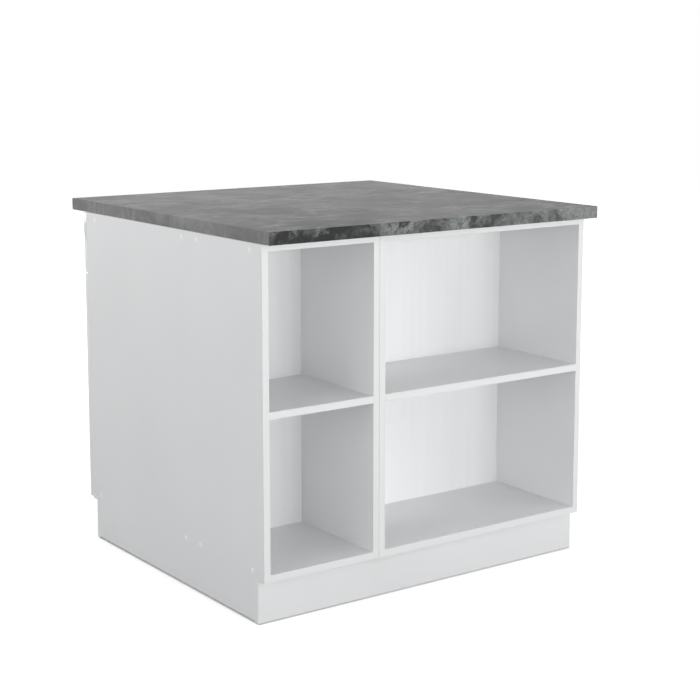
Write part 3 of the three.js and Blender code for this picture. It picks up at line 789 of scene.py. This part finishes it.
def slateLaminate(name, look):
    # high-pressure laminate with a printed slate pattern under a finely textured matt overlay: dark
    # clouds and mottle, soft pale wisps, and a sheen that greys it when seen from low down
    material, tree, shader, place = newMaterial("slate_laminate_" + name)
    warp = addNode(tree, "ShaderNodeTexNoise", {}, {
        "Vector": place, "Scale": 1 / worktopMake["warp"], "Detail": 3})
    pushed = addNode(tree, "ShaderNodeVectorMath", {"operation": "MULTIPLY_ADD"}, {
        0: warp.outputs["Color"], 1: [worktopMake["push"]] * 3, 2: place})
    clouds = addNode(tree, "ShaderNodeTexNoise", {}, {
        "Vector": pushed.outputs[0], "Scale": 1 / worktopMake["cloud"], "Detail": 4, "Roughness": 0.5})
    mottle = addNode(tree, "ShaderNodeTexNoise", {}, {
        "Vector": pushed.outputs[0], "Scale": 1 / worktopMake["mottle"], "Detail": 8, "Roughness": 0.68})
    both = addNode(tree, "ShaderNodeMix", {"data_type": "FLOAT"}, {
        "Factor": 0.5, 2: clouds.outputs["Fac"], 3: mottle.outputs["Fac"]})
    # a painted sheen: the colour is made paler along x and y where light and sheen fall more strongly
    slope = addNode(tree, "ShaderNodeVectorMath", {"operation": "DOT_PRODUCT"}, {
        0: place, 1: (*look["paintedSheenSlope"], 0.0)})
    withPaintedSheen = addNode(tree, "ShaderNodeMath", {"operation": "ADD"}, {
        0: both.outputs[0], 1: slope.outputs["Value"]})
    tint = addNode(tree, "ShaderNodeValToRGB", {}, {"Fac": withPaintedSheen.outputs[0]})
    blendColours(tint, [(0.38, look["dark"]), (0.5, look["middle"]), (0.64, look["pale"])])
    # a wisp lies where a drawn-out noise comes near its middle value, soft on both sides
    turned = addNode(tree, "ShaderNodeMapping", {}, {
        "Vector": pushed.outputs[0], "Rotation": (0, 0, math.radians(35)), "Scale": (1, 2.4, 1)})
    ridge = addNode(tree, "ShaderNodeTexNoise", {}, {
        "Vector": turned.outputs["Vector"], "Scale": 1 / worktopMake["wisp"], "Detail": 5, "Roughness": 0.66})
    away = addNode(tree, "ShaderNodeMath", {"operation": "SUBTRACT"}, {0: ridge.outputs["Fac"], 1: 0.5})
    near = addNode(tree, "ShaderNodeMath", {"operation": "ABSOLUTE"}, {0: away.outputs[0]})
    soft = addNode(tree, "ShaderNodeMapRange", {"interpolation_type": "SMOOTHSTEP"}, {
        "Value": near.outputs[0], "From Min": 0.0, "From Max": worktopMake["wispWidth"],
        "To Min": look["wispShare"], "To Max": 0.0})
    # wisps fade in and out over the sheet
    patches = addNode(tree, "ShaderNodeTexNoise", {}, {
        "Vector": place, "Scale": 1 / worktopMake["patch"], "Detail": 3})
    where = addNode(tree, "ShaderNodeMapRange", {}, {
        "Value": patches.outputs["Fac"], "From Min": 0.44, "From Max": 0.66})
    share = addNode(tree, "ShaderNodeMath", {"operation": "MULTIPLY"}, {
        0: soft.outputs["Result"], 1: where.outputs["Result"]})
    wisped = addNode(tree, "ShaderNodeMix", {"data_type": "RGBA"}, {
        "Factor": share.outputs[0], 6: tint.outputs["Color"], 7: linear(look["wisp"])})
    # printed grain, about 1 mm on the real sheet and drawn larger so that it shows
    grain = addNode(tree, "ShaderNodeTexNoise", {}, {
        "Vector": place, "Scale": 1 / worktopMake["grain"], "Detail": 3, "Roughness": 0.7})
    speck = addNode(tree, "ShaderNodeMapRange", {}, {
        "Value": grain.outputs["Fac"], "From Min": 0.3, "From Max": 0.7,
        "To Min": 1 - look["speckle"], "To Max": 1 + look["speckle"]})
    colour = addNode(tree, "ShaderNodeVectorMath", {"operation": "SCALE"}, {
        0: wisped.outputs[2], "Scale": speck.outputs["Result"]})
    tree.links.new(colour.outputs[0], shader.inputs["Base Color"])
    sheen = addNode(tree, "ShaderNodeMapRange", {}, {
        "Value": mottle.outputs["Fac"], "From Min": 0.3, "From Max": 0.7,
        "To Min": look["roughness"] - 0.06, "To Max": look["roughness"] + 0.06})
    tree.links.new(sheen.outputs["Result"], shader.inputs["Roughness"])
    bump = addNode(tree, "ShaderNodeBump", {}, {
        "Height": grain.outputs["Fac"], "Strength": 0.5, "Distance": 0.00012})
    tree.links.new(bump.outputs["Normal"], shader.inputs["Normal"])
    shader.inputs["IOR"].default_value = 1.45
    shader.inputs["Specular IOR Level"].default_value = 0.15
    return material


def worktopBacking():
    # grey backing paper on the underside, soaked in resin and left matt
    material, tree, shader, place = newMaterial("laminate_backing_paper")
    mottle = addNode(tree, "ShaderNodeTexNoise", {}, {"Vector": place, "Scale": 1 / 0.02, "Detail": 5})
    coverSurface(tree, shader, tint=(mottle, [(0.3, "#8A8885"), (0.7, "#9C9A96")]))
    shader.inputs["Roughness"].default_value = 0.8
    return material


def makeWorktop():
    top = copyOfNode("worktop")
    face, longEdgePaintedShade, endEdge = (slateLaminate(name, look) for name, look in slateLooks.items())
    for material in (face, longEdgePaintedShade, endEdge, worktopBacking()):
        top.data.materials.append(material)
    longSlot, endSlot, backSlot = 1, 2, 3
    for side in top.data.polygons:
        if side.normal.z < -squarely:
            side.material_index = backSlot
        # the long edges take the darker tones, which are partly painted shade
        elif abs(side.normal.y) > squarely:
            side.material_index = longSlot
        elif abs(side.normal.x) > squarely:
            side.material_index = endSlot
    softenEdges(top, worktopMake["edgeRadius"], 3)
    finishPiece(top, "worktop_laminated", "carcass", ["worktop"])


makeWorktop()
print("worktop made")


# doors and drawer front

frontMake = {
    "edgeRadius": 0.0009,
    "outline": 0.00002,  # a face within this of the front's box lies on its outside
}
frontNodes = ("wide_door_outer", "wide_door_middle", "narrow_door", "drawer_front")


def makeFront(node):
    # gloss outside and round the edges, plain melamine inside, and raw board in the hinge bores
    front = copyOfNode(node)
    for material in (glossFace, glossEdge, melamine, chipboard):
        front.data.materials.append(material)
    outsideSlot, edgeSlot, insideSlot, boreSlot = range(4)
    low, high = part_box(node)
    near = frontMake["outline"]
    for face in front.data.polygons:
        middle = face.center
        if face.normal.y > squarely and middle.y > high.y - near:
            face.material_index = outsideSlot
        elif face.normal.y < -squarely and middle.y < low.y + near:
            face.material_index = insideSlot
        elif min(middle.x - low.x, high.x - middle.x, middle.z - low.z, high.z - middle.z) < near:
            face.material_index = edgeSlot
        else:
            face.material_index = boreSlot
    softenEdges(front, frontMake["edgeRadius"], 3)
    finishPiece(front, node + "_gloss", bodyOf(node), [node])


for node in frontNodes:
    makeFront(node)
print("fronts made")


# handles

handleMake = {
    "radius": 0.006,
    "plugInset": 0.0014,  # wall of the bar round the plug in each end
    "plugSunk": 0.0004,
    "spacing": 0.192,  # between the middles of the posts
    "postRadius": 0.0045,
    "footRadius": 0.0060,
    "footThickness": 0.0015,
    "edgeRadius": 0.0006,
}


def makeHandle(node):
    # a bar with plugged ends on two posts, each with its foot against the front
    low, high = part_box(node)
    middle = (low + high) / 2
    axis = high.y - handleMake["radius"]
    bpy.ops.mesh.primitive_cylinder_add(
        vertices=48, radius=handleMake["radius"], depth=high.x - low.x,
        location=(middle.x, axis, middle.z), rotation=(0, quarterTurn, 0))
    bar = bpy.context.object
    bpy.ops.object.transform_apply(location=True, rotation=True, scale=True)
    pickFaces(bar, lambda way: abs(way.x) > squarely)
    bpy.ops.mesh.inset(thickness=handleMake["plugInset"], depth=-handleMake["plugSunk"])
    softenEdges(bar, handleMake["edgeRadius"], 3)
    smoothRounds(bar)
    parts = [bar]
    foot = handleMake["footThickness"]
    for end in (-1, 1):
        bpy.ops.mesh.primitive_cylinder_add(
            vertices=36, radius=handleMake["footRadius"], depth=foot,
            location=(middle.x + end * handleMake["spacing"] / 2, low.y + foot / 2, middle.z),
            rotation=(quarterTurn, 0, 0))
        post = bpy.context.object
        bpy.ops.object.transform_apply(location=True, rotation=True, scale=True)
        pickFaces(post, lambda way: way.y > squarely)
        bpy.ops.mesh.inset(thickness=handleMake["footRadius"] - handleMake["postRadius"])
        bpy.ops.mesh.extrude_region_move(TRANSFORM_OT_translate={"value": (0, axis - low.y - foot, 0)})
        softenEdges(post, handleMake["edgeRadius"] / 2)
        smoothRounds(post)
        parts.append(post)
    selectOnly(*parts)
    bpy.ops.object.join()
    bar.data.materials.append(satinSteel)
    finishPiece(bar, node + "_bar", bodyOf(node), [node])


for node in frontNodes:
    makeHandle("drawer_handle" if node == "drawer_front" else node + "_handle")
print("handles made")


# caps, glides and pins

screwHead = makeScrewHead("screw_head", screwMake["large"])
smallScrewHead = makeScrewHead("small_screw_head", screwMake["small"])


def makeCaps(panel):
    # flush cover caps over the connecting screws, each a little under the panel's face
    side = panel["side"]
    cap = makeDisc("cover_cap", coverCaps["radius"], coverCaps["depth"], coverCaps["edgeRadius"],
                   capPlastic, coverCaps["crown"])
    sunk = Vector((-side * (coverCaps["sunk"] + coverCaps["crown"] + coverCaps["depth"] / 2), 0, 0))
    caps = joinCopies(cap, [(spot + sunk, (side, 0, 0)) for spot in coverCapPlaces(panel["outer"])])
    bpy.data.objects.remove(cap)
    finishPiece(caps, "cover_caps_" + panel["end"], "carcass")


for panel in sidePanels.values():
    makeCaps(panel)


glideMake = {
    "radius": 0.0060,
    "edgeRadius": 0.0007,
    "columns": (62, 396, 731),  # millimetres from the shelf side's edges
}


def makeGlides(node, panel):
    # nail-on glides under a side panel, which keep its foot off the floor
    gap = floorGaps[node]
    glide = makeDisc("glide", glideMake["radius"], gap, glideMake["edgeRadius"], glidePlastic)
    places = [(at(panel["middle"], y, gap * 1000 / 2), (0, 0, -1)) for y in glideMake["columns"]]
    glides = joinCopies(glide, places)
    bpy.data.objects.remove(glide)
    finishPiece(glides, "glides_" + panel["end"], "carcass")


for node, panel in sidePanels.items():
    makeGlides(node, panel)


def makeShelfPins(name, cupboard):
    # nickelled steel pins, a thin collar against the upright and a stem under the loose shelf
    bpy.ops.mesh.primitive_cylinder_add(vertices=28, radius=shelfPins["collarRadius"],
                                        depth=shelfPins["collar"], location=(0, 0, shelfPins["collar"] / 2))
    pin = bpy.context.object
    bpy.ops.object.transform_apply(location=True, rotation=True, scale=True)
    pickFaces(pin, lambda way: way.z > squarely)
    bpy.ops.mesh.inset(thickness=shelfPins["collarRadius"] - shelfPins["radius"])
    bpy.ops.mesh.extrude_region_move(
        TRANSFORM_OT_translate={"value": (0, 0, shelfPins["reach"] - shelfPins["collar"])})
    softenEdges(pin, shelfPins["edgeRadius"], 2)
    smoothRounds(pin)
    pin.data.materials.append(nickelPlate)
    places = [(at(wall, y, pinHeight(cupboard)), (way, 0, 0))
              for wall, way in cupboard["walls"].values() for y in shelfHoles["columns"]]
    pins = joinCopies(pin, places)
    bpy.data.objects.remove(pin)
    finishPiece(pins, name + "_shelf_pins", "carcass")


for name, cupboard in cupboards.items():
    makeShelfPins(name, cupboard)
print("caps, glides and shelf pins made")


# concealed hinges

# each door's hinges: outer plane of its cupboard, the way it opens from there, hinge heights
doorHinges = {
    "wide_door_outer": {"plane": 0, "side": 1, "heights": {"lower": 190, "upper": 574}},
    "wide_door_middle": {"plane": 600, "side": -1, "heights": {"lower": 190, "upper": 574}},
    "narrow_door": {"plane": 900, "side": -1, "heights": {"lower": 190, "upper": 723}},
}
hingeMake = {
    "plateFace": 19,  # millimetres from the cupboard's outer plane
    "channelFace": 25,
    "plateScrews": {"depth": 756, "apart": 20},  # depth counts from the shelf side's edges
    "adjusters": (771, 742),  # their depths
    "cupMiddle": 28.5,
    "earFace": 794.75,
    "earScrews": 24,  # above and below the cup's middle
    "edgeRadius": 0.00025,
}


def makeHinges(door, where):
    plane, side = where["plane"], where["side"]
    doorBody = bodyOf(door)
    for level in where["heights"]:
        for part, body in (("arm", "carcass"), ("cup", doorBody)):
            node = door + "_" + level + "_hinge_" + part
            piece = copyOfNode(node)
            piece.data.materials.append(nickelPlate)
            softenEdges(piece, hingeMake["edgeRadius"], 2)
            smoothRounds(piece)
            finishPiece(piece, node + "_pressed", body, [node])
    plate, wing = hingeMake["plateFace"], hingeMake["plateScrews"]
    heights = where["heights"].values()
    places = [(at(plane + side * plate, wing["depth"], z + up), (side, 0, 0))
              for z in heights for up in (-wing["apart"], wing["apart"])]
    finishPiece(joinCopies(screwHead, places), door + "_hinge_plate_screws", "carcass")
    places = [(at(plane + side * hingeMake["channelFace"], y, z), (side, 0, 0))
              for z in heights for y in hingeMake["adjusters"]]
    finishPiece(joinCopies(smallScrewHead, places), door + "_hinge_adjusters", "carcass")
    places = [(at(plane + side * hingeMake["cupMiddle"], hingeMake["earFace"], z + up), (0, -1, 0))
              for z in heights for up in (-hingeMake["earScrews"], hingeMake["earScrews"])]
    finishPiece(joinCopies(screwHead, places), door + "_hinge_cup_screws", doorBody)


for door, where in doorHinges.items():
    makeHinges(door, where)
print("hinges made")


# soft bumpers inside each door's free edge

bumperMake = {
    "radius": 0.004,
    "depth": 0.0022,
    "edgeRadius": 0.0009,
    "fromEdge": 0.014,
}


def makeBumpers(door, where):
    low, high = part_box(door)
    inset = bumperMake["fromEdge"]
    x = high.x - inset if where["side"] > 0 else low.x + inset
    y = low.y - bumperMake["depth"] / 2
    bumper = makeDisc("bumper", bumperMake["radius"], bumperMake["depth"], bumperMake["edgeRadius"], silicone)
    places = [(Vector((x, y, z)), (0, -1, 0)) for z in (low.z + inset, high.z - inset)]
    bumpers = joinCopies(bumper, places)
    bpy.data.objects.remove(bumper)
    finishPiece(bumpers, door + "_bumpers", bodyOf(door))


for door, where in doorHinges.items():
    makeBumpers(door, where)
print("bumpers made")


# drawer runners and their rollers

runnerMake = {
    "edgeRadius": 0.0003,
    "webFace": 1.5,  # millimetres from the cupboard's side
    "countersink": 0.5,  # the heads sit in it, so that the drawer's roller runs clear of them
    "screwHeight": 700,
    "cupboardScrews": (750, 620, 380),
    "footUnder": 690.5,
    "footSink": 0.1,  # the same under the drawer
    "footIn": 19,  # millimetres from the cupboard's side to the screws under the drawer
    "drawerScrews": (740, 560, 400),
}


def makeRunners(end, wall, side):
    for node in ("cupboard_runner_" + end + "_profile", "drawer_runner_" + end + "_profile"):
        profile = copyOfNode(node)
        profile.data.materials.append(epoxyCoat)
        softenEdges(profile, runnerMake["edgeRadius"], 2)
        smoothRounds(profile)
        finishPiece(profile, node + "_coated", bodyOf(node), [node])
    face = wall + side * (runnerMake["webFace"] - runnerMake["countersink"])
    places = [(at(face, y, runnerMake["screwHeight"]), (side, 0, 0)) for y in runnerMake["cupboardScrews"]]
    finishPiece(joinCopies(screwHead, places), "cupboard_runner_" + end + "_screws", "carcass")
    inward = wall + side * runnerMake["footIn"]
    foot = runnerMake["footUnder"] + runnerMake["footSink"]
    places = [(at(inward, y, foot), (0, 0, -1)) for y in runnerMake["drawerScrews"]]
    finishPiece(joinCopies(smallScrewHead, places), "drawer_runner_" + end + "_screws", "drawer")


rollerMake = {
    "rim": 0.0020,
    "dish": 0.0010,
    "slope": 0.0002,  # width of the slopes into and out of the dish
    "hub": 0.0040,
    "bore": 0.0024,
    "edgeRadius": 0.0005,
}


def makeRoller(node):
    # turned form of the moulded roller: rim, dished web, raised hub and a bore on its rivet
    low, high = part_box(node)
    middle = (low + high) / 2
    radius = (high.z - low.z) / 2
    bpy.ops.mesh.primitive_cylinder_add(vertices=56, radius=radius, depth=high.x - low.x,
                                        location=middle, rotation=(0, quarterTurn, 0))
    roller = bpy.context.object
    bpy.ops.object.transform_apply(location=True, rotation=True, scale=True)
    pickFaces(roller, lambda way: abs(way.x) > squarely)
    rim, hub, slope = rollerMake["rim"], rollerMake["hub"], rollerMake["slope"]
    bpy.ops.mesh.inset(thickness=rim)
    bpy.ops.mesh.inset(thickness=slope, depth=-rollerMake["dish"])
    bpy.ops.mesh.inset(thickness=radius - rim - 2 * slope - hub)
    bpy.ops.mesh.inset(thickness=slope, depth=rollerMake["dish"])
    bpy.ops.mesh.inset(thickness=hub - rollerMake["bore"])
    bpy.ops.mesh.bridge_edge_loops()
    bpy.ops.mesh.select_all(action="SELECT")
    bpy.ops.mesh.normals_make_consistent(inside=False)
    softenEdges(roller, rollerMake["edgeRadius"], 2)
    smoothRounds(roller)
    roller.data.materials.append(nylon)
    finishPiece(roller, node + "_moulded", bodyOf(node), [node])


for end, (wall, side) in zip(("left", "right"), cupboards["wide_cupboard"]["walls"].values()):
    makeRunners(end, wall, side)
    makeRoller("cupboard_runner_" + end + "_roller")
    makeRoller("drawer_runner_" + end + "_roller")
for master in (screwHead, smallScrewHead):
    bpy.data.objects.remove(master)
print("runners and rollers made")


# the end

print("done")
